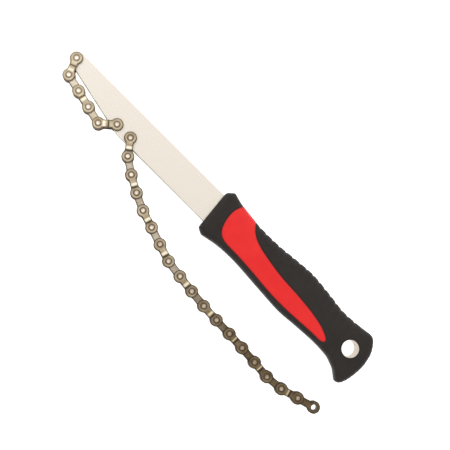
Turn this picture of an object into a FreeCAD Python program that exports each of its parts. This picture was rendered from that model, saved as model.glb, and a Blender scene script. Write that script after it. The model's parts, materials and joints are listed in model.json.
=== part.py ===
import FreeCAD, Part
import math
import os
import re
import Sketcher
from FreeCAD import Rotation, Vector

# Bicycle chain whip: a flat plated steel bar in a moulded grip, with a short chain riveted at both
# ends near the tip and a long chain riveted at one end. All sizes are in millimetres.
# The origin is the middle of the hanging hole, at half the bar's thickness. +X runs along the bar
# to its tip, +Y is the side that the chains are on, and +Z is up from the face shown on top.

doc = FreeCAD.newDocument("chain_whip")

# Driving dimensions

SIZES = [
    # bar: its tip is round about the tip rivet, and the back edge runs into that round
    ("bar_width", 22.5),
    ("bar_thick", 4.0),
    ("tip_radius", 5.05),
    ("taper_angle", 12.5),
    ("knee_radius", 14.0),
    ("tang_end", 9.5),
    ("tang_corner", 7.0),
    ("bar_bevel", 0.35),
    # rivets: the short chain starts one pitch beyond the long one, and spans short_span pitches
    ("root_x", 205.0),
    ("root_y", 3.4),
    ("root_inset", 4.85),
    ("short_span", 4.15),
    ("loop_gap", 0.4),
    # chain
    ("pitch", 12.7),
    ("inner_width", 2.4),
    ("plate_thick", 1.0),
    ("plate_gap", 0.1),
    ("plate_end_radius", 4.3),
    ("plate_waist", 5.2),
    ("pin_radius", 1.8),
    ("pin_gap", 0.08),
    ("pin_head", 0.3),
    ("bushing_wall", 0.7),
    ("roller_radius", 3.88),
    ("roller_gap", 0.1),
    ("roller_end_gap", 0.1),
    # the plates' ends and holes, bushings and rollers, which the chain repeats, have this many sides
    ("round_sides", 10),
    # hanging hole: the bar's end carries a thin eyelet that lines the hole through the whole grip
    ("hang_radius", 5.9),
    ("eyelet_wall", 0.5),
    # grip: half outlines at its collar, neck, palm, heel and butt, y on the chain side and on the back
    ("grip_thick", 14.0),
    ("grip_edge", 2.4),
    ("grip_corner", 2.7),
    ("collar_x", 126.0),
    ("collar_chain_y", 15.6),
    ("collar_back_y", 20.6),
    ("mouth_x", 130.3),
    ("mouth_skew", 2.85),
    ("mouth_chain_y", 12.7),
    ("mouth_back_y", 16.4),
    ("neck_x", 96.0),
    ("neck_chain_y", 12.6),
    ("neck_back_y", 16.0),
    ("palm_x", 52.0),
    ("palm_chain_y", 15.4),
    ("palm_back_y", 18.6),
    ("heel_x", 20.0),
    ("heel_chain_y", 13.4),
    ("heel_back_y", 15.2),
    ("butt_chain_x", 10.0),
    ("butt_chain_y", 24.3),
    ("butt_back_x", 7.4),
    ("butt_back_y", 18.2),
    ("butt_back_corner", 6.0),
    ("butt_chain_corner", 4.0),
    ("butt_end", 15.3),
    # ribs on the grip's back edge
    ("rib_count", 16),
    ("rib_pitch", 6.04),
    ("rib_first_x", 9.4),
    ("rib_groove_radius", 3.6),
    ("rib_groove_depth", 0.45),
    # inset
    ("inset_depth", 3.6),
    ("inset_margin", 3.7),
    ("inset_end", 7.2),
    ("inset_head_x", 121.0),
    ("inset_tail_x", 15.6),
    ("inset_waist_y", 0.7),
    ("inset_wrap_x", 106.2),
]

# The way each link of the long chain lies: its angle to the bar, turned towards the chain side.
LONG_LAY = [53, 34, 29, 25, 18, 19, 18, 8, 7, 6, 3, 2, 3, 4, 5, -5, -15, -15]

SHORT_LINKS = 5

# Derived sizes, as expressions on the sheet

# a many-sided hole stands clear of what turns in it at the middle of its sides, a shaft at its corners
FLAT = "cos(180 / round_sides)"
HOLE_RADIUS = f"(pin_radius / {FLAT})"
BORE_RADIUS = f"((pin_radius + pin_gap) / {FLAT})"
BUSHING_RADIUS = f"({BORE_RADIUS} + bushing_wall)"
ROLLER_BORE = f"(({BUSHING_RADIUS} + roller_gap) / {FLAT})"
INNER_FACE = "inner_width / 2"
OUTER_FACE = "inner_width / 2 + plate_thick + plate_gap"
SHORT_ROOT_X = "root_x + pitch"
BAR_BACK = "root_y + root_inset - bar_width"
TIP_Y = "root_y + root_inset - bar_width + tip_radius"
TIP_DROP = "(bar_width - root_inset - tip_radius)"
TIP_X = f"root_x + pitch + sqrt((short_span * pitch) ^ 2 - {TIP_DROP} ^ 2)"
# the short chain's middle links lie along the line between its two rivets, and its end links lean to it
SHORT_LINE = f"asin({TIP_DROP} / (short_span * pitch))"
SHORT_LEAN = f"acos((short_span - {SHORT_LINKS - 2}) / 2)"


def make_sheet():
    sheet = doc.addObject("Spreadsheet::Sheet", "sizes")
    rows = list(SIZES)
    for number, angle in enumerate(LONG_LAY, 1):
        rows.append((f"lay_{number:02d}", angle))
    for row, (name, value) in enumerate(rows, 1):
        sheet.set(f"A{row}", name)
        sheet.set(f"B{row}", str(value))
        sheet.setAlias(f"B{row}", name)
    doc.recompute()
    return sheet, [name for name, _ in rows]


sizes, NAMES = make_sheet()


def value_of(expression):
    """The number that an expression on the sheet gives, an angle in degrees."""
    result = sizes.evalExpression(expression)
    return float(getattr(result, "Value", result))


def bound(expression):
    """The same expression as another object writes it, with the sheet's name before each size."""
    return re.sub(r"\b(" + "|".join(NAMES) + r")\b", r"sizes.\1", expression)


# Sketch helpers


def origin_plane(body, role):
    return next(item for item in body.Origin.OriginFeatures if item.Role == role)


def new_sketch(body, name):
    """A sketch on the body's own XY plane."""
    sketch = body.newObject("Sketcher::SketchObject", name)
    sketch.AttachmentSupport = (origin_plane(body, "XY_Plane"), [""])
    sketch.MapMode = "FlatFace"
    return sketch


def drive(sketch, constraint, expression):
    """Adds a dimension to the sketch and binds it to the sheet."""
    number = sketch.addConstraint(constraint)
    sketch.setExpression(f"Constraints[{number}]", bound(expression))


def circle(sketch, x, y, radius):
    """A circle bound by expressions; an x or y of None keeps its centre on that axis."""
    at = Vector(value_of(x) if x else 0, value_of(y) if y else 0, 0)
    number = sketch.addGeometry(Part.Circle(at, Vector(0, 0, 1), value_of(radius)), False)
    if x is None:
        sketch.addConstraint(Sketcher.Constraint("PointOnObject", number, 3, -2))
    else:
        drive(sketch, Sketcher.Constraint("DistanceX", -1, 1, number, 3, at.x), x)
    if y is None:
        sketch.addConstraint(Sketcher.Constraint("PointOnObject", number, 3, -1))
    else:
        drive(sketch, Sketcher.Constraint("DistanceY", -1, 1, number, 3, at.y), y)
    drive(sketch, Sketcher.Constraint("Radius", number, value_of(radius)), radius)


def pad(body, name, sketch, length):
    """A pad of the given length, half of it on each side of the sketch."""
    feature = body.newObject("PartDesign::Pad", name)
    feature.Profile = sketch
    feature.setExpression("Length", bound(length))
    feature.SideType = "Symmetric"
    return feature


def pocket_through(body, name, sketch):
    """A pocket right through the body, both ways from the sketch."""
    feature = body.newObject("PartDesign::Pocket", name)
    feature.Profile = sketch
    feature.Type = "ThroughAll"
    feature.SideType = "Symmetric"
    return feature


# The bar, with its rivet holes and its tang


def bar_outline(sketch):
    """Back edge, round tip, taper, knee, front edge and the tang's two round corners, all tangent."""
    back = value_of(BAR_BACK)
    front = back + value_of("bar_width")
    tip = Vector(value_of(TIP_X), value_of(TIP_Y), 0)
    tip_radius = value_of("tip_radius")
    knee = value_of("knee_radius")
    corner = value_of("tang_corner")
    rear = -value_of("tang_end")
    taper = math.radians(value_of("taper_angle"))
    up = Vector(0, 0, 1)
    lean = Vector(math.sin(taper), math.cos(taper), 0)
    leave_tip = tip + lean * tip_radius
    # the knee's centre is one knee radius inside both the taper and the front edge
    knee_y = front - knee
    knee_x = leave_tip.x - lean.x * knee - (knee_y + lean.y * knee - leave_tip.y) / math.tan(taper)
    knee_centre = Vector(knee_x, knee_y, 0)

    def line(start, end):
        return sketch.addGeometry(Part.LineSegment(start, end), False)

    def arc(centre, radius, first, last):
        return sketch.addGeometry(Part.ArcOfCircle(Part.Circle(centre, up, radius), first, last), False)

    right = math.pi / 2
    back_edge = line(Vector(rear + corner, back, 0), Vector(tip.x, back, 0))
    tip_arc = arc(tip, tip_radius, -right, right - taper)
    taper_edge = line(leave_tip, knee_centre + lean * knee)
    knee_arc = arc(knee_centre, knee, right - taper, right)
    front_edge = line(Vector(knee_centre.x, front, 0), Vector(rear + corner, front, 0))
    front_corner = arc(Vector(rear + corner, front - corner, 0), corner, right, 2 * right)
    rear_edge = line(Vector(rear, front - corner, 0), Vector(rear, back + corner, 0))
    back_corner = arc(Vector(rear + corner, back + corner, 0), corner, 2 * right, 3 * right)
    loop = [back_edge, tip_arc, taper_edge, knee_arc, front_edge, front_corner, rear_edge, back_corner]
    for one, other in zip(loop, loop[1:] + loop[:1]):
        sketch.addConstraint(Sketcher.Constraint("Tangent", one, 2, other, 1))
    sketch.addConstraint(Sketcher.Constraint("Horizontal", back_edge))
    sketch.addConstraint(Sketcher.Constraint("Horizontal", front_edge))
    sketch.addConstraint(Sketcher.Constraint("Vertical", rear_edge))
    sketch.addConstraint(Sketcher.Constraint("Equal", front_corner, back_corner))
    drive(sketch, Sketcher.Constraint("DistanceX", -1, 1, tip_arc, 3, tip.x), TIP_X)
    drive(sketch, Sketcher.Constraint("DistanceY", -1, 1, tip_arc, 3, tip.y), TIP_Y)
    drive(sketch, Sketcher.Constraint("Radius", tip_arc, tip_radius), "tip_radius")
    drive(sketch, Sketcher.Constraint("Radius", knee_arc, knee), "knee_radius")
    drive(sketch, Sketcher.Constraint("Radius", front_corner, corner), "tang_corner")
    drive(sketch, Sketcher.Constraint("DistanceY", back_edge, 1, front_edge, 2, front - back), "bar_width")
    drive(sketch, Sketcher.Constraint("DistanceX", rear_edge, 1, -1, 1, -rear), "tang_end")
    drive(sketch, Sketcher.Constraint("Angle", taper_edge, math.pi - taper), "(180 - taper_angle) * 1 deg")


def make_bar():
    body = doc.addObject("PartDesign::Body", "bar")
    outline = new_sketch(body, "bar_outline")
    bar_outline(outline)
    blank = pad(body, "bar_blank", outline, "bar_thick")
    doc.recompute()
    half = value_of("bar_thick") / 2
    rims = []
    for number, edge in enumerate(blank.Shape.Edges, 1):
        flat = abs(edge.BoundBox.ZMin - edge.BoundBox.ZMax) < 1e-6
        if flat and abs(abs(edge.BoundBox.ZMin) - half) < 1e-6:
            rims.append(f"Edge{number}")
    bevel = body.newObject("PartDesign::Chamfer", "bar_bevels")
    bevel.Base = (blank, rims)
    bevel.setExpression("Size", bound("bar_bevel"))
    body.Tip = bevel
    ring = new_sketch(body, "eyelet_ring")
    circle(ring, None, None, "hang_radius + eyelet_wall")
    pad(body, "eyelet", ring, "grip_thick")
    holes = new_sketch(body, "bar_holes")
    circle(holes, TIP_X, TIP_Y, "pin_radius + pin_gap")
    circle(holes, SHORT_ROOT_X, "root_y", "pin_radius + loop_gap")
    circle(holes, "root_x", "root_y", "pin_radius + pin_gap")
    circle(holes, None, None, "hang_radius")
    pocket_through(body, "bar_hole_cut", holes)
    return body


bar = make_bar()
doc.recompute()

# Chain pieces, each made once with its first pin at the origin and its length along +X


def bind(item, **expressions):
    """Binds properties of an object to the sheet; two underscores stand for a dot."""
    for name, expression in expressions.items():
        item.setExpression(name.replace("__", "."), bound(expression))


def round_bar(name, radius, low, length, along="0"):
    """An upright many-sided bar round a pin's axis."""
    prism = doc.addObject("Part::Prism", name)
    bind(prism, Polygon="round_sides", Circumradius=radius, Height=length)
    bind(prism, Placement__Base__x=along, Placement__Base__z=low)
    return prism


def blank_plate(name, low):
    """A figure-of-eight plate with no holes: two round ends and the waist between them."""
    waist = doc.addObject("Part::Box", name + "_waist")
    bind(waist, Length="pitch", Width="plate_waist", Height="plate_thick")
    bind(waist, Placement__Base__y="-plate_waist / 2", Placement__Base__z=low)
    ends = [
        round_bar(f"{name}_end_{along}", "plate_end_radius", low, "plate_thick", along)
        for along in ("0", "pitch")
    ]
    plate = doc.addObject("Part::MultiFuse", name)
    plate.Shapes = [waist] + ends
    plate.Refine = True
    return plate


def round_pair(name, radius, low, length):
    """The same round bar at both pins of a link."""
    pair = doc.addObject("Part::Compound", name)
    pair.Links = [round_bar(f"{name}_{along}", radius, low, length, along) for along in ("0", "pitch")]
    return pair


def make_pins(name):
    """The two riveted pins of an outer link, with their ends proud of its plates."""
    half = f"({OUTER_FACE} + plate_thick + pin_head)"
    pair = doc.addObject("Part::Compound", name)
    shafts = []
    for along in ("0", "pitch"):
        shaft = doc.addObject("Part::Cylinder", f"{name}_{along}")
        bind(shaft, Radius="pin_radius", Height=f"2 * {half}")
        bind(shaft, Placement__Base__x=along, Placement__Base__z=f"-{half}")
        shafts.append(shaft)
    pair.Links = shafts
    return pair


def cut(name, base, tool):
    result = doc.addObject("Part::Cut", name)
    result.Base = base
    result.Tool = tool
    result.Refine = True
    return result


def make_outer_plate(name, low):
    holes = round_pair(name + "_holes", HOLE_RADIUS, low, "plate_thick")
    return cut(name, blank_plate(name + "_blank", low), holes)


def make_inner_link(name):
    """Two inner plates pressed on two bushings, bored for the pins."""
    bushings = round_pair(name + "_bushings", BUSHING_RADIUS, f"-({INNER_FACE})", "inner_width")
    blank = doc.addObject("Part::MultiFuse", name + "_blank")
    blank.Shapes = [
        blank_plate(name + "_top", INNER_FACE),
        blank_plate(name + "_bottom", f"-({INNER_FACE}) - plate_thick"),
        bushings,
    ]
    blank.Refine = True
    width = "inner_width + 2 * plate_thick"
    bores = round_pair(name + "_bores", BORE_RADIUS, f"-({width}) / 2", width)
    return cut(name, blank, bores)


def make_roller(name):
    length = "inner_width - 2 * roller_end_gap"
    low = f"-({length}) / 2"
    drum = round_bar(name + "_drum", "roller_radius", low, length)
    return cut(name, drum, round_bar(name + "_bore", ROLLER_BORE, low, length))


outer_plates = [
    make_outer_plate("outer_plate_top", OUTER_FACE),
    make_outer_plate("outer_plate_bottom", f"-({OUTER_FACE}) - plate_thick"),
]
pins = [make_pins("pins")]
inner_link = [make_inner_link("inner_link")]
roller = [make_roller("roller")]

# The grip and its inset


def plan(x, y):
    return Vector(x, y, 0)


def tangent_arcs(start, heading, points):
    """Arcs from start through each point in turn, each one tangent to the one before it."""
    edges = []
    here = plan(*start)
    ahead = plan(*heading)
    for point in points:
        there = plan(*point)
        chord = there - here
        turn = math.atan2(ahead.x * chord.y - ahead.y * chord.x, ahead.dot(chord))
        sideways = plan(-chord.y, chord.x).normalize()
        crown = (here + there) * 0.5 - sideways * (chord.Length / 2 * math.tan(turn / 2))
        edges.append(Part.Arc(here, crown, there).toShape())
        ahead = Rotation(Vector(0, 0, 1), math.degrees(2 * turn)).multVec(ahead)
        here = there
    return edges


def between(low, high, share):
    return low + (high - low) * share


def part_way(start, end, along, across):
    """The point that lies one share of the way from start to end in x, and another share in y."""
    return (between(start[0], end[0], along), between(start[1], end[1], across))


def chain_side():
    """The grip's edge on the chain side: palm back to the butt, and palm forward to the collar."""
    palm = (sizes.palm_x, sizes.palm_chain_y)
    heel = (sizes.heel_x, sizes.heel_chain_y)
    butt = (-sizes.butt_chain_x, sizes.butt_chain_y)
    neck = (sizes.neck_x, sizes.neck_chain_y)
    collar = (sizes.collar_x, sizes.collar_chain_y)
    backward = [
        part_way(palm, heel, 0.47, 0.45),
        heel,
        part_way(heel, butt, 0.42, 0.07),
        part_way(heel, butt, 0.79, 0.44),
        butt,
    ]
    forward = [part_way(palm, neck, 0.45, 0.35), neck, part_way(neck, collar, 0.53, 0.18), collar]
    return tangent_arcs(palm, (-1, 0), backward) + tangent_arcs(palm, (1, 0), forward)


def back_side():
    """The grip's edge on its back: palm back to the butt, and palm forward to the collar."""
    palm = (sizes.palm_x, -sizes.palm_back_y)
    heel = (sizes.heel_x, -sizes.heel_back_y)
    butt = (-sizes.butt_back_x, -sizes.butt_back_y)
    neck = (sizes.neck_x, -sizes.neck_back_y)
    collar = (sizes.collar_x + sizes.mouth_skew, -sizes.collar_back_y)
    backward = [part_way(palm, heel, 0.5, 0.38), heel, part_way(heel, butt, 0.61, 0.45), butt]
    forward = [
        part_way(palm, neck, 0.32, 0.28),
        part_way(palm, neck, 0.73, 0.96),
        part_way(neck, collar, 0.27, 0.05),
        collar,
    ]
    return tangent_arcs(palm, (-1, 0), backward) + tangent_arcs(palm, (1, 0), forward)


def solid_between(edges, low, high):
    face = Part.Face(Part.Wire(Part.__sortEdges__(edges)))
    face.translate(Vector(0, 0, low))
    return face.extrude(Vector(0, 0, high - low))


def uprights_at(solid, corners):
    """The solid's upright edges that stand at the given places."""
    uprights = []
    for edge in solid.Edges:
        foot = plan(edge.Vertexes[0].X, edge.Vertexes[0].Y)
        upright = edge.BoundBox.ZLength > sizes.grip_thick / 2
        if upright and min(foot.distanceToPoint(corner) for corner in corners) < 0.01:
            uprights.append(edge)
    return uprights


def grip_shape():
    """The grip's outer form: its outline, drawn up to its thickness, with round corners and bevelled rims."""
    half = sizes.grip_thick / 2
    collar_chain = plan(sizes.collar_x, sizes.collar_chain_y)
    mouth_chain = plan(sizes.mouth_x, sizes.mouth_chain_y)
    mouth_back = plan(sizes.mouth_x + sizes.mouth_skew, -sizes.mouth_back_y)
    collar_back = plan(sizes.collar_x + sizes.mouth_skew, -sizes.collar_back_y)
    butt_chain = plan(-sizes.butt_chain_x, sizes.butt_chain_y)
    butt_back = plan(-sizes.butt_back_x, -sizes.butt_back_y)
    butt_middle = plan(-sizes.butt_end, 0.5 * (butt_chain.y + butt_back.y))
    butt = Part.Arc(butt_chain, butt_middle, butt_back).toShape()
    corners = [collar_chain, mouth_chain, mouth_back, collar_back]
    mouth = [Part.makeLine(one, other) for one, other in zip(corners, corners[1:])]
    blank = solid_between(chain_side() + mouth + back_side() + [butt], -half, half)
    blank = blank.makeFillet(sizes.butt_back_corner, uprights_at(blank, [butt_back]))
    blank = blank.makeFillet(sizes.butt_chain_corner, uprights_at(blank, [butt_chain]))
    blank = blank.makeFillet(sizes.grip_corner, uprights_at(blank, corners))
    rims = [edge for edge in blank.Edges if edge.BoundBox.ZLength < 0.01]
    return blank.makeChamfer(sizes.grip_edge, rims).Solids[0]


def height_at(edges, x):
    """Where the edges cross the line at x."""
    reach = 4 * sizes.grip_thick
    line = Part.makeLine(plan(x, -reach), plan(x, reach))
    touching = [edge.distToShape(line) for edge in edges]
    return min(touching, key=lambda found: found[0])[1][0][0].y


def make_rib_grooves():
    """The grooves that leave the ribs, each set to the same depth in the grip's back edge."""
    edges = back_side()
    grooves = []
    for number in range(int(sizes.rib_count)):
        x = sizes.rib_first_x + number * sizes.rib_pitch
        y = height_at(edges, x) - sizes.rib_groove_radius + sizes.rib_groove_depth
        name = f"rib_groove_{number + 1:02d}"
        groove = round_bar(name, "rib_groove_radius", "-grip_thick / 2", "grip_thick")
        groove.clearExpression("Placement.Base.x")
        groove.Placement.Base = Vector(x, y, -sizes.grip_thick / 2)
        grooves.append(groove)
    tool = doc.addObject("Part::Compound", "rib_grooves")
    tool.Links = grooves
    return tool


def inset_shape():
    """The inset's outline, drawn from its floor to above the grip: a wide head that runs over the back
    edge behind the collar, and a tail that narrows along the chain side."""
    margin = sizes.inset_margin
    end = sizes.inset_end
    beyond = -sizes.collar_back_y - margin
    neck_y = sizes.neck_chain_y - margin
    palm_y = sizes.palm_chain_y - margin
    heel_y = sizes.heel_chain_y - margin
    head_x = sizes.inset_head_x
    tail_x = sizes.inset_tail_x
    wrap_x = sizes.inset_wrap_x
    palm_x = sizes.palm_x
    waist_y = -sizes.inset_waist_y
    shoulder = (head_x - 0.45 * end, between(beyond, neck_y, 0.77))
    head_end = (head_x - 2 * end, neck_y)
    palm = (palm_x + end, palm_y)
    tail_top = (tail_x + end, heel_y + 0.1 * end)
    tail_bottom = (tail_x + 0.72 * end, between(heel_y, waist_y, 0.56))
    waist = (palm_x, waist_y)
    bay = (wrap_x - 1.5 * end, between(beyond, waist_y, 0.72))
    runs = [
        [(head_x - 0.53 * end, beyond), (head_x, between(beyond, neck_y, 0.4)), shoulder],
        [shoulder, (head_x - 0.96 * end, between(beyond, neck_y, 0.93)), head_end],
        [head_end, (between(palm_x, head_x, 0.45), between(palm_y, neck_y, 0.62)), palm],
        [palm, (between(tail_x, palm_x, 0.72), palm_y), tail_top],
        [tail_top, (tail_x, between(heel_y, waist_y, 0.18)), tail_bottom],
        [tail_bottom, (between(tail_x, palm_x, 0.55), between(waist_y, heel_y, 0.15)), waist],
        [waist, (between(palm_x, wrap_x, 0.45), between(waist_y, beyond, 0.09)), bay],
        [bay, (wrap_x - 0.43 * end, between(beyond, waist_y, 0.5)), (wrap_x, beyond)],
    ]
    edges = [Part.Arc(plan(*first), plan(*middle), plan(*last)).toShape() for first, middle, last in runs]
    edges.append(Part.makeLine(plan(*runs[-1][-1]), plan(*runs[0][0])))
    half = sizes.grip_thick / 2
    return solid_between(edges, half - sizes.inset_depth, half + margin)


def make_shape(name, shape):
    item = doc.addObject("Part::Feature", name)
    item.Shape = shape
    return item


grip_form = cut("grip_ribbed", make_shape("grip_form", grip_shape()), make_rib_grooves())
inset_tool = make_shape("inset_tool", inset_shape())
hang_hole = doc.addObject("Part::Cylinder", "hang_hole")
bind(hang_hole, Radius="hang_radius", Height="2 * grip_thick", Placement__Base__z="-grip_thick")
inset = doc.addObject("Part::Common", "inset")
inset.Base = grip_form
inset.Tool = inset_tool
grip = cut("grip", cut("grip_on_tang", cut("grip_recessed", grip_form, inset_tool), bar), hang_hole)

# The nodes, each with the label that names its file

nodes = []


def add_node(item, label):
    item.Label = label
    nodes.append(item)
    return item


def place_copy(label, pieces, base_x, base_y, angle):
    """The pieces of one link or roller, moved so that their first pin stands at base_x, base_y."""
    copy = doc.addObject("Part::Compound", "node_" + label)
    copy.Links = pieces
    copy.Placement = FreeCAD.Placement(Vector(0, 0, 0), Rotation(Vector(0, 0, 1), 1))
    copy.setExpression("Placement.Base.x", base_x)
    copy.setExpression("Placement.Base.y", base_y)
    copy.setExpression("Placement.Rotation.Angle", angle)
    return add_node(copy, label)


def lay_chain(chain, base_x, base_y, angles):
    """Lays links end to end from the first pin, outer and inner in turn, with a roller at each inner pin."""
    for number, angle in enumerate(angles, 1):
        heading = bound(angle)
        ahead_x = f"{base_x} + sizes.pitch * cos({heading}) * 1 mm"
        ahead_y = f"{base_y} + sizes.pitch * sin({heading}) * 1 mm"
        if number % 2:
            link = place_copy(f"{chain}_outer_plates_{number:02d}", outer_plates, base_x, base_y, heading)
            place_copy(f"{chain}_pins_{number:02d}", pins, base_x, base_y, heading)
        else:
            link = place_copy(f"{chain}_inner_link_{number:02d}", inner_link, base_x, base_y, heading)
            place_copy(f"{chain}_roller_{number:02d}_near", roller, base_x, base_y, heading)
            place_copy(f"{chain}_roller_{number:02d}_far", roller, ahead_x, ahead_y, heading)
        here = f"{link.Name}.Placement.Base"
        base_x = f"{here}.x + sizes.pitch * cos({heading}) * 1 mm"
        base_y = f"{here}.y + sizes.pitch * sin({heading}) * 1 mm"


add_node(bar, "bar")
add_node(grip, "grip")
add_node(inset, "inset")
long_angles = [f"180 - lay_{number:02d}" for number in range(1, len(LONG_LAY) + 1)]
lay_chain("long", "sizes.root_x * 1 mm", "sizes.root_y * 1 mm", long_angles)
along = f"180 deg - {SHORT_LINE}"
short_angles = [f"{along} - {SHORT_LEAN}"] + [along] * (SHORT_LINKS - 2) + [f"{along} + {SHORT_LEAN}"]
lay_chain("short", f"({bound(TIP_X)}) * 1 mm", f"({bound(TIP_Y)}) * 1 mm", short_angles)

doc.recompute()

for item in doc.Objects:
    if "Invalid" in item.State or "Error" in item.State:
        raise RuntimeError(f"{item.Label} didn't compute: {item.getStatusString()}")
for node in nodes:
    if node.Shape.isNull() or not node.Shape.isValid() or not node.Shape.Solids:
        raise RuntimeError(f"{node.Label} has no valid solid")

os.makedirs("parts", exist_ok=True)
for node in nodes:
    node.Shape.exportStep(f"parts/{node.Label}.step")
print(len(nodes), "nodes written")
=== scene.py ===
import json
import math
import bpy
import numpy as np
from mathutils import Matrix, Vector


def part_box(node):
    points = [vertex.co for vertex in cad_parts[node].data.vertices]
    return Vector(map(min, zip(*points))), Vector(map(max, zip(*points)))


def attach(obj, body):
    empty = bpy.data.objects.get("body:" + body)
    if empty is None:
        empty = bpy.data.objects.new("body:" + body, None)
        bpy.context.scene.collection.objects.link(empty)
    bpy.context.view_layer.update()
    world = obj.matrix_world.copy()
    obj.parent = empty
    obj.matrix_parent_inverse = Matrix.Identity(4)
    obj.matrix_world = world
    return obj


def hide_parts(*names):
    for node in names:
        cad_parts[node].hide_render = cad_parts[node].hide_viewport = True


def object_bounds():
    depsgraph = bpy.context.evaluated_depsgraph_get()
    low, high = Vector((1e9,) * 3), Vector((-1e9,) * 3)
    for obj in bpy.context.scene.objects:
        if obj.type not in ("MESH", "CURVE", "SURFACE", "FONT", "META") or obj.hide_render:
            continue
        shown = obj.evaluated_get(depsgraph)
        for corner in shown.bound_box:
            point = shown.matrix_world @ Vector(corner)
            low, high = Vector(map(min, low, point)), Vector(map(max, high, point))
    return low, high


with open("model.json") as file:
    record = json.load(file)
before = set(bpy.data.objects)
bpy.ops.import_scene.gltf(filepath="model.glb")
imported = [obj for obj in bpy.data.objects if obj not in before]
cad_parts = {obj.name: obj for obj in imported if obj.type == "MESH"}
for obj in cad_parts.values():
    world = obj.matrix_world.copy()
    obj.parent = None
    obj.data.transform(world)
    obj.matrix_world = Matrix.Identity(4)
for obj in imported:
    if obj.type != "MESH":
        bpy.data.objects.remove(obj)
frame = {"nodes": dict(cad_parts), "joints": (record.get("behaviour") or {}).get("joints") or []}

cad_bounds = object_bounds()
nodes = frame["nodes"]

# The view: the tool lies flat, its tip at the upper left and its hanging hole at the lower right.
# The camera stands above it, a little to the side where the chains lie.
camera_data = bpy.data.cameras.new("photo_camera")
camera = bpy.data.objects.new("photo_camera", camera_data)
bpy.context.scene.collection.objects.link(camera)
picture_right = (-0.70806, -0.69982, 0.09436)
picture_up = (0.70605, -0.70385, 0.07803)
towards_camera = (0.01181, 0.12187, 0.99248)
stand = (0.12546, 0.07275, 0.59549)
camera.matrix_world = Matrix([*zip(picture_right, picture_up, towards_camera, stand), (0, 0, 0, 1)])
focal_px, picture_px, sensor_mm = 884.05, 450, 36
camera_data.sensor_width = sensor_mm
camera_data.lens = focal_px * sensor_mm / picture_px
bpy.context.scene.camera = camera
bpy.context.scene.view_settings.view_transform = "Standard"

# The table and the light: a plain white sheet under the tool, three wide soft lamps over it,
# and a room with a white ceiling and greyer walls, which metal reflects.
sheet_half, sheet_gap, sheet_glow = 2, 0.0002, 0.78
sheet_z = cad_bounds[0][2] - sheet_gap
sheet_corners = [(x * sheet_half, y * sheet_half, sheet_z) for x, y in ((-1, -1), (1, -1), (1, 1), (-1, 1))]
floor_mesh = bpy.data.meshes.new("table_sheet")
floor_mesh.from_pydata(sheet_corners, [], [(0, 1, 2, 3)])
floor = bpy.data.objects.new("table_sheet", floor_mesh)
bpy.context.scene.collection.objects.link(floor)


def new_material(name):
    """A material and its node tree, which starts with a Principled shader."""
    material = bpy.data.materials.new(name)
    material.use_nodes = True
    return material, material.node_tree


def fill(tree, socket, value):
    """Links an output to a socket, or sets the socket to a number or a colour."""
    if isinstance(value, bpy.types.NodeSocket):
        tree.links.new(value, socket)
    else:
        socket.default_value = (*value, 1) if isinstance(value, tuple) else value


def feed(tree, field, value):
    """Fills one field of a material's Principled shader."""
    fill(tree, tree.nodes["Principled BSDF"].inputs[field], value)


def add_math(tree, operation, first, second=0):
    """A Math node on two values; each may be a number or an output."""
    step = tree.nodes.new("ShaderNodeMath")
    step.operation = operation
    fill(tree, step.inputs[0], first)
    fill(tree, step.inputs[1], second)
    return step.outputs[0]


def add_range(tree, value, low, high, into=(0, 1), soft=False):
    """A Map Range node, which carries the stretch from low to high over to the stretch of into, evenly
    or with a soft start and end."""
    step = tree.nodes.new("ShaderNodeMapRange")
    if soft:
        step.interpolation_type = "SMOOTHSTEP"
    fields = {"Value": value, "From Min": low, "From Max": high, "To Min": into[0], "To Max": into[1]}
    for field, source in fields.items():
        fill(tree, step.inputs[field], source)
    return step.outputs["Result"]


def seen_white(tree):
    """1 for the rays that show the background: to the camera, off metal or through glass; else 0."""
    path = tree.nodes.new("ShaderNodeLightPath")
    seen = path.outputs["Is Camera Ray"]
    for kind in ("Is Glossy Ray", "Is Transmission Ray"):
        seen = add_math(tree, "MAXIMUM", seen, path.outputs[kind])
    return seen


sheet, sheet_tree = new_material("white_sheet")
feed(sheet_tree, "Base Color", (0.94, 0.94, 0.935))
feed(sheet_tree, "Roughness", 0.9)
feed(sheet_tree, "Emission Color", (1, 1, 1))
feed(sheet_tree, "Emission Strength", add_math(sheet_tree, "MULTIPLY", seen_white(sheet_tree), sheet_glow))
floor_mesh.materials.append(sheet)

wall_light, ceiling_light, wall_top, ceiling_start = 0.16, 0.92, 0.35, 0.85
world = bpy.data.worlds.new("white_room")
bpy.context.scene.world = world
world.use_nodes = True
room = world.node_tree
way_out = room.nodes.new("ShaderNodeTexCoord")
heights = room.nodes.new("ShaderNodeSeparateXYZ")
room.links.new(way_out.outputs["Generated"], heights.inputs[0])
room_light = add_range(room, heights.outputs["Z"], wall_top, ceiling_start,
                       into=(wall_light, ceiling_light), soft=True)
background = room.nodes["Background"]
fill(room, background.inputs["Strength"], add_math(room, "MAXIMUM", seen_white(room), room_light))
fill(room, background.inputs["Color"], (1, 1, 1))


def soft_lamp(name, place, size, power):
    """A square lamp at a place, turned so that it faces the middle of the tool."""
    data = bpy.data.lights.new(name, "AREA")
    data.size = size
    data.energy = power
    lamp = bpy.data.objects.new(name, data)
    bpy.context.scene.collection.objects.link(lamp)
    ahead = np.array(place) - tool_middle
    ahead /= np.linalg.norm(ahead)
    across = np.cross((0, 1, 0.1), ahead)
    across /= np.linalg.norm(across)
    above = np.cross(ahead, across)
    lamp.matrix_world = Matrix([*zip(across, above, ahead, place), (0, 0, 0, 1)])


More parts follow.
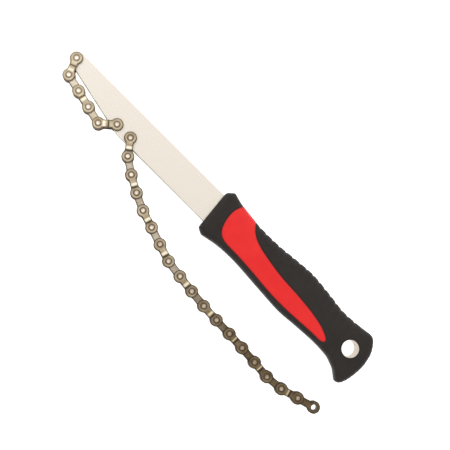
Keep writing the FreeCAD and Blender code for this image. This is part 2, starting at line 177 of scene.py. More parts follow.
tool_middle = np.array((0.13, 0, 0))
soft_lamp("lamp_over", (0.2, -0.75, 0.75), size=0.9, power=2.6)
soft_lamp("lamp_tip_side", (0.75, -0.1, 0.5), size=0.5, power=1.0)
soft_lamp("lamp_chain_side", (0.0, 0.7, 0.35), size=0.4, power=0.4)

# The bar: a flat strip of steel, stamped to its outline, plated in satin nickel and riveted to both
# chains. Its faces are finely mottled, and its stamped edges are darker: partly the sheared steel's own
# colour, partly painted shade on the upright sides. At its end an eyelet lines the hanging hole: the
# wall is bright, and the rim is dark where the grip's rubber lips over it.


def new_group(name, inputs, output, kind):
    """A node group with named inputs and one output. Gives the group, its inputs, and the socket to
    which its result goes."""
    group = bpy.data.node_groups.new(name, "ShaderNodeTree")
    for field, input_kind in inputs.items():
        group.interface.new_socket(field, in_out="INPUT", socket_type="NodeSocket" + input_kind)
    group.interface.new_socket(output, in_out="OUTPUT", socket_type="NodeSocket" + kind)
    return group, group.nodes.new("NodeGroupInput").outputs, group.nodes.new("NodeGroupOutput").inputs[0]


def place_group(tree, group, values):
    """Places a group in a material, fills its inputs and gives its output."""
    use = tree.nodes.new("ShaderNodeGroup")
    use.node_tree = group
    for field, value in values.items():
        fill(tree, use.inputs[field], value)
    return use.outputs[0]


speckle, entry, leave = new_group(
    "speckle", {"Position": "Vector", "Scale": "Float", "Low": "Float", "High": "Float"}, "Value", "Float")
speck = speckle.nodes.new("ShaderNodeTexNoise")
speck.inputs["Detail"].default_value = 3
fill(speckle, speck.inputs["Vector"], entry["Position"])
fill(speckle, speck.inputs["Scale"], entry["Scale"])
fill(speckle, leave, add_range(speckle, speck.outputs["Fac"], 0.3, 0.7, (entry["Low"], entry["High"])))

flat_faces, entry, leave = new_group(
    "flat_faces", {"Direction": "Vector", "Low": "Float", "High": "Float"}, "Mask", "Float")
direction = flat_faces.nodes.new("ShaderNodeSeparateXYZ")
fill(flat_faces, direction.inputs[0], entry["Direction"])
upward = add_math(flat_faces, "ABSOLUTE", direction.outputs["Z"])
fill(flat_faces, leave, add_range(flat_faces, upward, entry["Low"], entry["High"]))


def add_speckle(tree, scale, low=0, high=1):
    """A fine speckle over the surface, on Object coordinates, whose value runs from low to high."""
    position = tree.nodes.new("ShaderNodeTexCoord").outputs["Object"]
    return place_group(tree, speckle, {"Position": position, "Scale": scale, "Low": low, "High": high})


def add_flat_faces(tree, low, high):
    """1 on faces that look up or down, 0 on the upright edges; it changes over from low to high, by the
    share of the face's direction that is upright."""
    facing = tree.nodes.new("ShaderNodeTexCoord").outputs["Normal"]
    return place_group(tree, flat_faces, {"Direction": facing, "Low": low, "High": high})


def add_mix(tree, factor, first, second):
    """A mix of two colours by a factor; each colour may be an output."""
    mix = tree.nodes.new("ShaderNodeMix")
    mix.data_type = "RGBA"
    for socket, value in ((mix.inputs[0], factor), (mix.inputs[6], first), (mix.inputs[7], second)):
        fill(tree, socket, value)
    return mix.outputs[2]


def add_bump(tree, height, strength, distance):
    """A bump from a height into the material's normal."""
    bump = tree.nodes.new("ShaderNodeBump")
    for field, value in (("Strength", strength), ("Distance", distance), ("Height", height)):
        fill(tree, bump.inputs[field], value)
    feed(tree, "Normal", bump.outputs["Normal"])


nickel_deep, nickel_pale = (0.725, 0.667, 0.580), (0.825, 0.767, 0.680)
stamped_edge_and_shade, rubber_lip = (0.11, 0.092, 0.074), (0.014, 0.012, 0.011)
nickel, nickel_tree = new_material("satin_nickel")
grain = add_speckle(nickel_tree, scale=1500)
faces = add_mix(nickel_tree, grain, nickel_deep, nickel_pale)
in_plan = nickel_tree.nodes.new("ShaderNodeVectorMath")
in_plan.operation = "MULTIPLY"
in_plan.inputs[1].default_value = (1, 1, 0)
from_hole = nickel_tree.nodes.new("ShaderNodeVectorMath")
from_hole.operation = "LENGTH"
fill(nickel_tree, in_plan.inputs[0], nickel_tree.nodes.new("ShaderNodeTexCoord").outputs["Object"])
fill(nickel_tree, from_hole.inputs[0], in_plan.outputs[0])
eyelet_wall = add_range(nickel_tree, from_hole.outputs["Value"], 0.0061, 0.00595)
past_lip = add_range(nickel_tree, from_hole.outputs["Value"], 0.0075, 0.0085)
bright = add_math(nickel_tree, "MAXIMUM", add_flat_faces(nickel_tree, low=0.35, high=0.6), eyelet_wall)
off_lip = add_math(nickel_tree, "MAXIMUM", eyelet_wall, past_lip)
# Upright faces take the stamped-edge colour, which is partly the steel's own and partly painted shade.
plated = add_mix(nickel_tree, bright, stamped_edge_and_shade, faces)
feed(nickel_tree, "Base Color", add_mix(nickel_tree, off_lip, rubber_lip, plated))
feed(nickel_tree, "Metallic", 0.7)
feed(nickel_tree, "Roughness", add_speckle(nickel_tree, scale=500, low=0.42, high=0.5))
add_bump(nickel_tree, grain, strength=0.05, distance=0.00004)
nodes["bar"].data.materials.clear()
nodes["bar"].data.materials.append(nickel)

# The grip: matte black rubbery plastic, moulded in one piece over the bar's tang. It swells at the
# palm and flares at the collar and at the butt, and a row of ribs crosses its back edge.

mm_per_m = 1000
grip_half, grip_edge, crown_rise = 0.007, 0.0043, 0.0006
grip_wall = grip_half - grip_edge - crown_rise
chain_edge = [(-10.2, 24.3), (-2.9, 17.95), (2, 15.7), (7.8, 14.0), (20, 13.4), (37, 14.35), (52, 15.4),
              (72, 14.25), (96, 12.65), (112, 13.2), (125.5, 15.75)]
back_edge = [(-4.5, -17.4), (5, -16.1), (20, -15.3), (36, -17.2), (52, -18.65), (66, -17.75), (84, -16.1),
             (104, -16.2), (119, -18.0), (128.6, -20.5)]
butt_points = [(-4.5, -17.4), (-7.3, -16.5), (-10.1, -13.8), (-13.5, -8), (-15.2, 0), (-15.15, 7),
               (-13.9, 14.8), (-12.0, 19.9), (-10.1, 22.0), (-8.4, 22.3)]
mouth_edge = [(130.1, 13.3), (130.4, 11.8), (133.1, -15.2), (132.6, -16.8)]


def through(points, count):
    """A smooth curve through points: a cubic between each two, whose slope at a point is half the step
    from the point before it to the point after it (Catmull-Rom)."""
    p = np.array(points, float)
    p = np.vstack([2 * p[0] - p[1], p, 2 * p[-1] - p[-2]])
    t = np.linspace(0, len(points) - 1 - 1e-9, count)
    i = t.astype(int)
    f = (t - i)[:, None]
    a, b, c, d = p[i], p[i + 1], p[i + 2], p[i + 3]
    return 0.5 * (2 * b + (c - a) * f + (2 * a - 5 * b + 4 * c - d) * f ** 2 + (3 * b - a - 3 * c + d) * f ** 3)


def even(points, count, closed=False):
    """The same line with its points at even steps along its length."""
    p = np.vstack([points, points[:1]]) if closed else np.asarray(points)
    s = np.r_[0, np.cumsum(np.linalg.norm(np.diff(p, axis=0), axis=1))]
    at = np.linspace(0, s[-1], count, endpoint=not closed)
    return np.stack([np.interp(at, s, p[:, k]) for k in range(p.shape[1])], 1)


def rounded(points, reach):
    """A closed line of even points, each moved to the bell-weighted mean of those within reach of it,
    which rounds its corners."""
    step = np.linalg.norm(points[1] - points[0])
    width = int(3 * reach / step)
    k = np.arange(-width, width + 1)
    w = np.exp(-0.5 * (k * step / reach) ** 2)
    w /= w.sum()
    return sum(wi * np.roll(points, -ki, axis=0) for ki, wi in zip(k, w))


def plan_distance(x, y, line):
    """The distance from each point to the nearest point of a finely divided line."""
    d = np.full(x.shape, 1e9)
    for part in np.array_split(line, 24):
        near = np.min((x[..., None] - part[:, 0]) ** 2 + (y[..., None] - part[:, 1]) ** 2, axis=-1)
        d = np.minimum(d, near)
    return np.sqrt(d)


edge_points, butt_overlap, outline_points, corner_reach = 400, 25, 1600, 0.7
chain_side = through(chain_edge, edge_points)[butt_overlap:]
back_side = through(back_edge, edge_points)[::-1]
grip_line = np.vstack([chain_side, mouth_edge, back_side, through(butt_points, 200)])
grip_outline = rounded(even(grip_line, outline_points, closed=True), corner_reach) / mm_per_m
rib_pitch, rib_first, rib_lead, rib_fade = 0.00604, 0.0094, 0.0025, 0.002
rib_end = rib_first + 15.5 * rib_pitch
back_from, rib_notch = -0.012, 0.00045


def rib_groove(x):
    """One narrow valley for each pitch of the ribs, between the first rib and the last."""
    wave = (0.5 + 0.5 * np.cos(2 * np.pi * (x - rib_first) / rib_pitch)) ** 4
    begun = np.clip((x - rib_first + rib_lead) / rib_fade, 0, 1)
    to_come = np.clip((rib_end - x) / rib_fade, 0, 1)
    return wave * (begun * to_come)


on_back = np.clip((back_from - grip_outline[:, 1]) / rib_fade, 0, 1)
grip_outline[:, 1] += rib_notch * on_back * rib_groove(grip_outline[:, 0])


def nearest_index(line, x, y):
    """Which of a line's points lies nearest to a place that is given in mm."""
    x, y = x / mm_per_m, y / mm_per_m
    return int(np.argmin((line[:, 0] - x) ** 2 + (line[:, 1] - y) ** 2))


def quarter(line, first, last, count):
    """The stretch of a closed line from one index on to another, at even steps."""
    n = len(line)
    steps = (last - first) % n
    return even(line[(first + np.arange(steps + 1)) % n], count)


def patch(low_side, high_side, start, finish):
    """A four-sided patch (Coons): the two long sides blended across it, plus the two ends blended along
    it, less the blend of the four corners."""
    n, m = len(low_side), len(start)
    u = np.linspace(0, 1, n)[:, None, None]
    v = np.linspace(0, 1, m)[None, :, None]
    long_way = (1 - v) * low_side[:, None] + v * high_side[:, None]
    short_way = (1 - u) * start[None] + u * finish[None]
    corners = ((1 - u) * (1 - v) * low_side[0] + (1 - u) * v * high_side[0]
               + u * (1 - v) * low_side[-1] + u * v * high_side[-1])
    return long_way + short_way - corners


def outline_patch(line, corners, along, across):
    """The patch inside a closed line that is split at four corners: back start, back end, chain end,
    chain start."""
    a, b, c, d = (nearest_index(line, x, y) for x, y in corners)
    if (b - a) % len(line) > (a - b) % len(line):
        line = line[::-1]
        a, b, c, d = (nearest_index(line, x, y) for x, y in corners)
    low = quarter(line, a, b, along)
    end = quarter(line, b, c, across)
    high = quarter(line, c, d, along)[::-1]
    start = quarter(line, d, a, across)[::-1]
    return patch(low, high, start, end)


crown_start, crown_reach, crown_power = 0.6 * grip_edge, 0.012, 0.8
rib_depth, rib_reach, rib_side = 0.0004, 0.0065, 0.008


def grip_height(x, y):
    """Height of the grip's face: a quarter round of the edge radius from the outline inwards, then a
    crown that rises slowly to the full half thickness, less the ribs' valleys near the back edge."""
    d = plan_distance(x, y, grip_outline)
    e = np.clip(d / grip_edge, 0, 1)
    crown = crown_rise * np.clip((d - crown_start) / crown_reach, 0, 1) ** crown_power
    z = grip_wall + grip_edge * np.sqrt(np.clip(1 - (1 - e) ** 2, 0, 1)) + crown
    back = np.clip(-y / rib_side, 0, 1)
    return z - rib_depth * rib_groove(x) * back * np.exp(-(d / rib_reach) ** 2)


def closed_shell(points, height, low_height):
    """Vertices and quads of a shell: a grid at its height, the same grid at its low height, and a wall
    between their rims."""
    n, m = points.shape[:2]
    top = np.dstack([points, height]).reshape(-1, 3)
    low = np.dstack([points, low_height]).reshape(-1, 3)
    at = np.arange(n * m).reshape(n, m)
    quads = np.stack([at[:-1, :-1], at[1:, :-1], at[1:, 1:], at[:-1, 1:]], -1).reshape(-1, 4)
    rim = np.r_[at[:-1, 0], at[-1, :-1], at[:0:-1, -1], at[0, :0:-1]]
    after = np.roll(rim, -1)
    wall = np.stack([rim, rim + n * m, after + n * m, after], -1)
    return np.vstack([top, low]), np.vstack([quads, quads[:, ::-1] + n * m, wall])


def add_piece(name, vertices, quads, material, body, sharp):
    """A smooth mesh object in the model's own frame, riding on its body. Edges that turn by more than
    the sharp angle, in degrees, stay crisp."""
    mesh = bpy.data.meshes.new(name)
    mesh.from_pydata(np.asarray(vertices).tolist(), [], np.asarray(quads).tolist())
    mesh.update()
    mesh.polygons.foreach_set("use_smooth", [True] * len(mesh.polygons))
    mesh.set_sharp_from_angle(angle=math.radians(sharp))
    mesh.materials.append(material)
    piece = bpy.data.objects.new(name, mesh)
    bpy.context.scene.collection.objects.link(piece)
    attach(piece, body)
    return piece


def lathe(profile, turns):
    """A closed profile of (radius, height) turned round the Z axis."""
    profile = np.array(profile, float)
    a = np.linspace(0, 2 * np.pi, turns, endpoint=False)[:, None]
    radius, height = profile[:, 0], np.broadcast_to(profile[:, 1], (turns, len(profile)))
    grid = np.stack([radius * np.cos(a), radius * np.sin(a), height], -1)
    at = np.arange(turns * len(profile)).reshape(turns, -1)
    on, up = np.roll(at, -1, 0), np.roll(at, -1, 1)
    quads = np.stack([at, on, np.roll(on, -1, 1), up], -1).reshape(-1, 4)
    return grid.reshape(-1, 3), quads


inset_line = np.vstack([
    through([(113.5, -20.5), (118.2, -16.5), (120.4, -12), (120.7, -6), (119.3, 0.3), (117.1, 4.9),
             (113.6, 7.6), (108, 8.75), (98, 8.95), (82, 10.0), (66, 11.4), (50, 11.7), (36, 11.0),
             (26, 10.5), (20, 10.45), (17.1, 10.0), (15.7, 8.6), (16.4, 6.9), (20, 4.9), (26, 2.8),
             (36, 0.9), (50, -0.5), (66, -1.5), (80, -3.5), (90, -5.6), (97, -8.2), (101.6, -11.8),
             (104.3, -15.3), (106.2, -20)], 600),
    [(106.6, -24), (116, -24)],
])
inset_corner_reach = 0.6
inset_outline = rounded(even(inset_line, 1000, closed=True), inset_corner_reach) / mm_per_m

grip_corners = [(-7.5, -16.4), (133.0, -16.0), (130.3, 12.6), (-9.2, 22.3)]
seam_depth, seam_width = 0.0004, 0.00045
grip_plan = outline_patch(grip_outline, grip_corners, along=430, across=90)
seam = plan_distance(grip_plan[..., 0], grip_plan[..., 1], inset_outline)
inside_grip = grip_height(grip_plan[..., 0], grip_plan[..., 1])
grip_top = inside_grip - seam_depth * np.exp(-(seam / seam_width) ** 2)
grip_vertices, grip_quads = closed_shell(grip_plan, grip_top, -inside_grip)

rubber_deep, rubber_pale = (0.0155, 0.0115, 0.0095), (0.0220, 0.0165, 0.0140)
black, black_tree = new_material("black_rubber")
cloud = add_speckle(black_tree, scale=60)
feed(black_tree, "Base Color", add_mix(black_tree, cloud, rubber_deep, rubber_pale))
feed(black_tree, "Roughness", add_speckle(black_tree, scale=300, low=0.5, high=0.66))
feed(black_tree, "Specular IOR Level", 0.27)
add_bump(black_tree, add_speckle(black_tree, scale=1400), strength=0.25, distance=0.00012)
grip_sharp = 50
grip = add_piece("moulded_grip", grip_vertices, grip_quads, black, "handle", grip_sharp)

# The hole through the grip, cut round the bar's eyelet, has a small rounded lip at both ends.
near_axis, cut_end = 0.00001, 0.009
bore_lip = [(0.00665, 0.0070), (0.00648, 0.0067), (0.00642, 0.0063)]
lip_radius = bore_lip[0][0]
hole_cut = lathe([(lip_radius, -cut_end), *((r, -z) for r, z in bore_lip), *bore_lip[::-1],
                  (lip_radius, cut_end), (near_axis, cut_end), (near_axis, -cut_end)], turns=72)
cut_mesh = bpy.data.meshes.new("hole_cut")
cut_mesh.from_pydata(hole_cut[0].tolist(), [], hole_cut[1].tolist())
cutter = bpy.data.objects.new("hole_cut", cut_mesh)
bpy.context.scene.collection.objects.link(cutter)
bore = grip.modifiers.new("hanging_hole", "BOOLEAN")
bore.object = cutter
bore.operation = "DIFFERENCE"
bore.solver = "EXACT"
bored = bpy.data.meshes.new_from_object(grip.evaluated_get(bpy.context.evaluated_depsgraph_get()))
bored.set_sharp_from_angle(angle=math.radians(grip_sharp))
grip.modifiers.clear()
grip.data = bored
bpy.data.objects.remove(cutter)
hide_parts("grip")

# The inset: a red plastic panel let into the grip's face. It is broad behind the collar, where it runs
# over the back edge, and narrows to a round tail near the hanging hole. Its rim is darkened with painted
# shade where it rounds down into the seam.

inset_corners = [(17.6, 6.1), (106.4, -22), (115.5, -22), (17.3, 10.1)]
inset_plan = outline_patch(inset_outline, inset_corners, along=260, across=60)
px, py = inset_plan[..., 0], inset_plan[..., 1]
under_inset = (grip_outline[:, 1] < back_from) & (grip_outline[:, 0] > 0.08) & (grip_outline[:, 0] < 0.124)
back_line = grip_outline[under_inset]
back_line = back_line[np.argsort(back_line[:, 0])]
overhang = 0.0001
py = np.maximum(py, np.interp(px, back_line[:, 0], back_line[:, 1]) - overhang)
inset_plan = np.dstack([px, py])
rim = plan_distance(px, py, inset_outline)

# The panel's face stands a little proud of the grip, with its rim rounded down into the seam.
inset_rise, rim_round, rim_sunk = 0.00026, 0.0006, 0.00012
panel_thick, panel_bottom = 0.0009, grip_half - 0.0014
rim_curve = np.sqrt(np.clip(1 - (1 - np.clip(rim / rim_round, 0, 1)) ** 2, 0, 1))
inset_top = grip_height(px, py) + inset_rise * rim_curve - rim_sunk
inset_low = np.minimum(inset_top - panel_thick, panel_bottom)
inset_vertices, inset_quads = closed_shell(inset_plan, inset_top, inset_low)


def add_mask(tree, name):
    """Reads a mask that is stored on the mesh's points."""
    reader = tree.nodes.new("ShaderNodeAttribute")
    reader.attribute_name = name
    return reader.outputs["Fac"]


def store_mask(piece, name, values):
    """Stores a mask on a piece's points."""
    layer = piece.data.attributes.new(name, "FLOAT", "POINT")
    layer.data.foreach_set("value", values.astype(np.float32))


red_deep, red_pale, red_rim_painted_shade = (0.92, 0.014, 0.014), (0.97, 0.022, 0.020), (0.60, 0.010, 0.010)
red, red_tree = new_material("red_panel")
field = add_mix(red_tree, add_speckle(red_tree, scale=90), red_deep, red_pale)
# The rim mask paints shade on the panel's rim, in the deeper red.
feed(red_tree, "Base Color", add_mix(red_tree, add_mask(red_tree, "rim"), field, red_rim_painted_shade))
feed(red_tree, "Roughness", add_speckle(red_tree, scale=500, low=0.36, high=0.46))
feed(red_tree, "Specular IOR Level", 0.3)
add_bump(red_tree, add_speckle(red_tree, scale=1600), strength=0.10, distance=0.0001)
inset = add_piece("red_inset", inset_vertices, inset_quads, red, "handle", sharp=55)
# Painted shade along the rim: full at the outline, fading inwards over the rim's rounding.
shade = np.exp(-(rim.ravel() / rim_round) ** 2)
store_mask(inset, "rim", np.r_[shade, shade])
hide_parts("inset")

# The chains: bicycle roller chain in oiled bronze-brown steel. An outer link is two plates riveted on
# two pins; an inner link is two plates pressed on two bushings, with a roller on each bushing.

pitch = 0.0127
long_links, short_links = 18, 5


def joint_place(name):
    """Where a joint of the model stands, in plan."""
    return np.array(next(j["pos_m"] for j in frame["joints"] if j["name"] == name))[:2]


def middle(node):
    """The middle of a node's box, in plan."""
    low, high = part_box(node)
    return np.array((low + high) / 2)[:2]


long_pins = [joint_place(f"long_pin_{n:02d}") for n in range(1, long_links + 1)]
long_pins.append(middle("long_roller_18_far"))
short_pins = [joint_place(f"short_pin_{n:02d}") for n in range(1, short_links + 1)]
short_pins.append(2 * middle("short_pins_05") - short_pins[-1])
links = [("long", n, long_pins[n - 1:n + 1]) for n in range(1, long_links + 1)]
links += [("short", n, short_pins[n - 1:n + 1]) for n in range(1, short_links + 1)]


def laid(vertices, first, second):
    """Points of a piece made along +X from the origin, turned and moved to lie from one pin to the next."""
    ahead = (second - first) / np.linalg.norm(second - first)
    v = np.asarray(vertices)
    x = first[0] + ahead[0] * v[:, 0] - ahead[1] * v[:, 1]
    y = first[1] + ahead[1] * v[:, 0] + ahead[0] * v[:, 1]
    return np.stack([x, y, v[:, 2]], 1)


end_radius, waist_half = 0.0043, 0.0026
tiny, far_out, crispness = 1e-6, 0.03, 14


def plate_reach(angle):
    """Distance from a pin to the plate's outline in a direction, and whether it ends midway between the
    pins. It is the round end or the straight waist, whichever is further; the step between them is
    smoothed by a root of a sum of high powers."""
    c, s = np.cos(angle), np.abs(np.sin(angle))
    half_way = np.where(c > tiny, pitch / 2 / np.maximum(c, tiny), 1)
    waist = np.where(c > 0, waist_half / np.maximum(s, tiny), 0)
    blend = (end_radius ** crispness + np.minimum(waist, far_out) ** crispness) ** (1 / crispness)
    outline = np.where(c > 0, np.minimum(blend, far_out), end_radius)
    return np.minimum(outline, half_way), outline >= half_way


angle_steps = 60
ring_shares = np.array([0, 0.18, 0.36, 0.54, 0.7, 0.84, 0.93, 1.0])
rim_fall, rim_width, rim_shade_reach = 0.00022, 0.0005, 0.00062
dip_radius, dip_width = 0.0022, 0.00035
swell_start, swell_run = 0.0031, 0.0011
towards_waist = 0.55


def plate(low, thick, bore, bulge, dip, flip):
    """One figure-of-eight plate, and a mask of painted shade along its edge. Round each pin the grid runs by
    angle and by share of the way from the bore to the outline. The outer face falls off at the rim, dips in
    a ring round the pin, and swells by the bulge between the pins; flip turns it to face down."""
    angles = np.linspace(-np.pi, np.pi, angle_steps, endpoint=False)
    corner = math.atan2(waist_half, pitch / 2)
    angles = np.sort(np.r_[angles, corner, -corner])
    reach, open_end = plate_reach(angles)
    r = bore + (reach[:, None] - bore) * ring_shares[None]
    x, y = r * np.cos(angles)[:, None], r * np.sin(angles)[:, None]
    to_side = waist_half - np.abs(y)
    to_outline = np.maximum(to_side, end_radius - np.hypot(x, y))
    to_rim = np.where(open_end[:, None], to_side, reach[:, None] - r)
    to_rim = np.where(np.cos(angles)[:, None] > towards_waist, np.minimum(to_rim, to_outline), to_rim)
    fall = rim_fall * (1 - np.clip(to_rim / rim_width, 0, 1)) ** 2
    ring = dip * np.exp(-((np.hypot(x, y) - dip_radius) / dip_width) ** 2)
    rise = np.clip((x - swell_start) / swell_run, 0, 1)
    swell = bulge * rise * rise * (3 - 2 * rise)
    high = low + thick + swell - fall - ring
    base = low + swell
    n, m = x.shape
    top = np.dstack([x, y, high]).reshape(-1, 3)
    under = np.dstack([x, y, np.broadcast_to(base, x.shape)]).reshape(-1, 3)
    at = np.arange(n * m).reshape(n, m)
    on = np.roll(at, -1, 0)
    faces = np.stack([at[:, :-1], at[:, 1:], on[:, 1:], on[:, :-1]], -1).reshape(-1, 4)
    low_faces = faces[:, ::-1] + n * m
    closed_rim = ~(open_end & np.roll(open_end, -1))
    wall = np.stack([at[:, -1], at[:, -1] + n * m, on[:, -1] + n * m, on[:, -1]], -1)[closed_rim]
    inner = np.stack([on[:, 0], on[:, 0] + n * m, at[:, 0] + n * m, at[:, 0]], -1)
    v = np.vstack([top, under])
    q = np.vstack([faces, low_faces, wall, inner])
    # Painted shade along the plate's rim.
    edge = np.exp(-(to_rim / rim_shade_reach) ** 4).ravel()
    far = v * [-1, 1, 1] + [pitch, 0, 0]
    vertices = np.vstack([v, far])
    quads = np.vstack([q, q[:, ::-1] + len(v)])
    if flip:
        vertices = vertices * [1, 1, -1]
        quads = quads[:, ::-1]
    return vertices, quads, np.tile(np.r_[edge, edge], 2)


def joined(*parts):
    """Several meshes of (vertices, quads, edge mask) as one."""
    vertices, quads, edges, count = [], [], [], 0
    for part in parts:
        vertices.append(part[0])
        quads.append(part[1] + count)
        edges.append(part[2])
        count += len(part[0])
    return np.vstack(vertices), np.vstack(quads), np.concatenate(edges)


def merged(form):
    """The same form with points at one place, to a tenth of a micron, made one."""
    vertices, quads, edge = form
    _, keep, back = np.unique(np.round(vertices, 7), axis=0, return_index=True, return_inverse=True)
    return vertices[keep], back.ravel()[quads], edge[keep]


def turned_at(profile, x, turns=40):
    """A lathe form standing at x along the link, with no edge mask."""
    v, q = lathe(profile, turns)
    return v + [x, 0, 0], q, np.zeros(len(v))


steel_tones = ("Dark", "Middle", "Pale", "Dark Rust", "Middle Rust", "Pale Rust", "Dirt And Shade", "Dry Dirt And Shade",
               "Dull Highlight Colour", "Highlight Colour")
steel_masks = ("Along", "Stain", "Painted Highlight", "Soil And Shade", "Flat")
steel_with_painted_light, entry, leave = new_group(
    "steel_with_painted_light", {**dict.fromkeys(steel_masks, "Float"), **dict.fromkeys(steel_tones, "Color")},
    "Colour", "Color")
# Painted light and shade along the chain: its colours run from shaded at the long chain's free end to lit at
# the bar's tip.
past_free_end = add_range(steel_with_painted_light, entry["Along"], 0.05, 0.15, soft=True)
near_tip = add_range(steel_with_painted_light, entry["Along"], 0.19, 0.25, soft=True)


def painted_light_along_chain(dark, middle_tone, pale):
    """Three colours that follow one another from the long chain's free end to the bar's tip: painted light and
    shade, darker at the free end and paler at the tip.
    """
    return add_mix(steel_with_painted_light, near_tip, add_mix(steel_with_painted_light, past_free_end, dark, middle_tone), pale)


clean = painted_light_along_chain(entry["Dark"], entry["Middle"], entry["Pale"])
stained = painted_light_along_chain(entry["Dark Rust"], entry["Middle Rust"], entry["Pale Rust"])
# A painted highlight: a bright band across the outer plates, duller towards the free end.
highlight_colour = add_mix(steel_with_painted_light, past_free_end, entry["Dull Highlight Colour"], entry["Highlight Colour"])
# Dirt and painted shade share one colour, drier near the tip.
soil_and_shade_colour = add_mix(steel_with_painted_light, near_tip, entry["Dirt And Shade"], entry["Dry Dirt And Shade"])
metal = add_mix(steel_with_painted_light, entry["Stain"], clean, stained)
metal = add_mix(steel_with_painted_light, entry["Painted Highlight"], metal, highlight_colour)
metal = add_mix(steel_with_painted_light, entry["Soil And Shade"], metal, soil_and_shade_colour)
# Upright faces take the dirt colour: painted shade on the cut sides of the plates.
fill(steel_with_painted_light, leave, add_mix(steel_with_painted_light, entry["Flat"], entry["Dirt And Shade"], metal))

rust_shades = (0.46, 0.37, 0.30), (0.60, 0.50, 0.41), (0.80, 0.74, 0.64)
dull_highlight_tint, dry_shade = (0.74, 0.66, 0.50), 4


def chain_steel(name, dark, middle_tone, pale, dirt_and_shade, highlight, rough_low, rough_high):
    """Oiled steel in soft clouds of rust, with painted light and shade along the chain: dark brown at the
    chain's free end, greyer in the middle and pale at the bar's tip. It takes dirt and painted shade by one
    mask stored on the mesh, and a painted highlight by another. Cut edges are darkened with painted shade."""
    steel, tree = new_material(name)
    along = tree.nodes.new("ShaderNodeSeparateXYZ")
    fill(tree, along.inputs[0], tree.nodes.new("ShaderNodeTexCoord").outputs["Object"])
    rusts = [tuple(np.multiply(shade, tone)) for shade, tone in zip(rust_shades, (dark, middle_tone, pale))]
    masks = (along.outputs["X"], add_speckle(tree, scale=230, low=-0.15, high=0.9), add_mask(tree, "painted_highlight"),
             add_mask(tree, "soil_and_shade"), add_flat_faces(tree, low=0.3, high=0.75))
    tones = (dark, middle_tone, pale, *rusts, dirt_and_shade, tuple(np.multiply(dry_shade, dirt_and_shade)),
             tuple(np.multiply(dull_highlight_tint, highlight)), highlight)
    values = dict(zip(steel_masks + steel_tones, masks + tones))
    feed(tree, "Base Color", place_group(tree, steel_with_painted_light, values))
    feed(tree, "Metallic", 0.8)
    feed(tree, "Roughness", add_speckle(tree, scale=900, low=rough_low, high=rough_high))
    add_bump(tree, add_speckle(tree, scale=1500), strength=0.15, distance=0.00008)
    return steel


ring_middle, ring_width, ring_darkening = 0.0018, 0.00058, 0.92
band_width, band_shade, boss_radius = 0.05, 1.15, 0.0026


def link_masks(vertices, edge, highlight, shade_place):
    """Masks over a link, by distance from its pins and by share of the way along it: one darkens a ring
    round each pin, and paints shade along the edges and in a band; the other paints a highlight on
    another band."""
    x, y = vertices[:, 0], vertices[:, 1]
    highlight_place, highlight_width = highlight
    from_pin = np.minimum(np.hypot(x, y), np.hypot(x - pitch, y))
    # Darker in a ring round each pin.
    ring = ring_darkening * np.exp(-((from_pin - ring_middle) / ring_width) ** 4)
    # Painted highlight: a bright band across the link at its given share of the pitch.
    painted_highlight = np.exp(-((x / pitch - highlight_place) / highlight_width) ** 4)
    # Painted shade: a dark band beside the painted highlight.
    band = np.minimum(band_shade * np.exp(-((x / pitch - shade_place) / band_width) ** 4), 1)
    return np.maximum.reduce([ring, edge, band * (from_pin > boss_radius)]), painted_highlight


# A piece with neither painted band: both lie off its end.
no_bands = (-1, 0.1), -1


def add_chain_piece(name, form, pins, material, body, node, painted_bands=no_bands):
    """A chain piece laid between its two pins, with its masks, in place of its node. Its painted bands say,
    in shares of the pitch, where its band of painted highlight lies and how wide it is, and where its band
    of painted shade lies. On a piece with no bands both lie off its end."""
    vertices, quads, edge = form
    piece = add_piece(name, laid(vertices, *pins), quads, material, body, sharp=40)
    for mask, values in zip(("soil_and_shade", "painted_highlight"), link_masks(vertices, edge, *painted_bands)):
        store_mask(piece, mask, values)
    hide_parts(node)


inner_low, outer_low, plate_thick = 0.0012, 0.0023, 0.001
pin_bore, bushing_bore, bushing_outside = 0.0018, 0.0019, 0.00262
# The dirt colour also serves as painted shade on the plates' edges and bands.
plate_dirt_and_shade = (0.034, 0.021, 0.011)
plate_steel = chain_steel("plate_steel", (0.195, 0.144, 0.079), (0.53, 0.445, 0.310), (0.55, 0.48, 0.345),
                          plate_dirt_and_shade, (1.0, 0.90, 0.70), rough_low=0.30, rough_high=0.44)
inner_steel = chain_steel("inner_steel", (0.152, 0.112, 0.060), (0.60, 0.53, 0.425), (0.76, 0.68, 0.55),
                          plate_dirt_and_shade, (0.72, 0.61, 0.44), rough_low=0.30, rough_high=0.44)
outer_form = merged(joined(*(
    plate(outer_low, plate_thick, pin_bore, bulge=0.00028, dip=0.00022, flip=flip) for flip in (False, True))))
bushing = [(bushing_bore, -inner_low), (bushing_bore, inner_low),
           (bushing_outside, inner_low), (bushing_outside, -inner_low)]
inner_form = merged(joined(*(
    plate(inner_low, plate_thick, bushing_bore, bulge=-0.0001, dip=0.0, flip=flip) for flip in (False, True)),
    turned_at(bushing, 0), turned_at(bushing, pitch)))

# The pins: each is a round steel rod, riveted at both ends, so that its head stands a little proud of
# the plate as a shallow dome with a punched dimple.

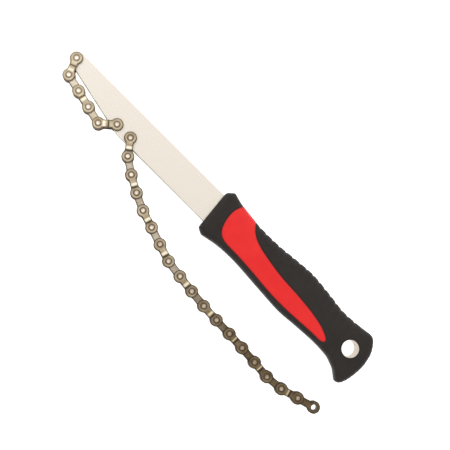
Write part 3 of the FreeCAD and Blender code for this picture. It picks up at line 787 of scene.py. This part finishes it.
pin_end = 0.0036
head = [(near_axis, pin_end - 0.00022), (0.0005, pin_end - 0.00014), (0.0009, pin_end),
        (0.0013, pin_end - 0.00004), (0.00162, pin_end - 0.00018), (pin_bore, pin_end - 0.00036)]
pin_profile = head + [(r, -z) for r, z in head[::-1]]
pin_steel = chain_steel("pin_steel", (0.48, 0.40, 0.29), (0.92, 0.83, 0.69), (0.96, 0.91, 0.84),
                        (0.07, 0.045, 0.025), (0.70, 0.60, 0.50), rough_low=0.28, rough_high=0.38)
pin_form = joined(turned_at(pin_profile, 0), turned_at(pin_profile, pitch))

# The rollers: a short steel drum with softened ends, loose on each bushing.

roller_side = [(0.00276, 0.00105), (0.0036, 0.0011), (0.00385, 0.00085)]
roller_profile = [(r, -z) for r, z in roller_side] + roller_side[::-1]
roller_steel = chain_steel("roller_steel", (0.10, 0.08, 0.05), (0.28, 0.23, 0.165), (0.36, 0.29, 0.20),
                           (0.06, 0.045, 0.03), (0.5, 0.42, 0.31), rough_low=0.28, rough_high=0.42)
roller_form = turned_at(roller_profile, 0, turns=48)

# Where each outer link's painted highlight band and painted shade band lie: the hanging end of the long chain,
# the rest of it, and the short chain.
hanging_from, hanging_bands, held_bands = 13, ((0.39, 0.042), 0.50), ((0.53, 0.075), 0.69)
short_bands = {1: ((0.7, 0.08), 0.45), 3: ((0.52, 0.08), 0.36), 5: ((0.32, 0.08), 0.55)}

for chain, n, pins in links:
    body = f"{chain}_link_{n:02d}"
    if n % 2:
        painted_bands = short_bands[n] if chain == "short" else hanging_bands if n >= hanging_from else held_bands
        add_chain_piece(f"{chain}_plates_outer_{n:02d}", outer_form, pins, plate_steel, body,
                        f"{chain}_outer_plates_{n:02d}", painted_bands)
        add_chain_piece(f"{chain}_rivets_{n:02d}", pin_form, pins, pin_steel, body,
                        f"{chain}_pins_{n:02d}")
    else:
        add_chain_piece(f"{chain}_plates_inner_{n:02d}", inner_form, pins, inner_steel, body,
                        f"{chain}_inner_link_{n:02d}")
        for side, roller_pins in (("near", pins), ("far", pins[::-1])):
            roller = f"{chain}_roller_{n:02d}_{side}"
            add_chain_piece(f"{roller}_drum", roller_form, roller_pins, roller_steel, roller, roller)
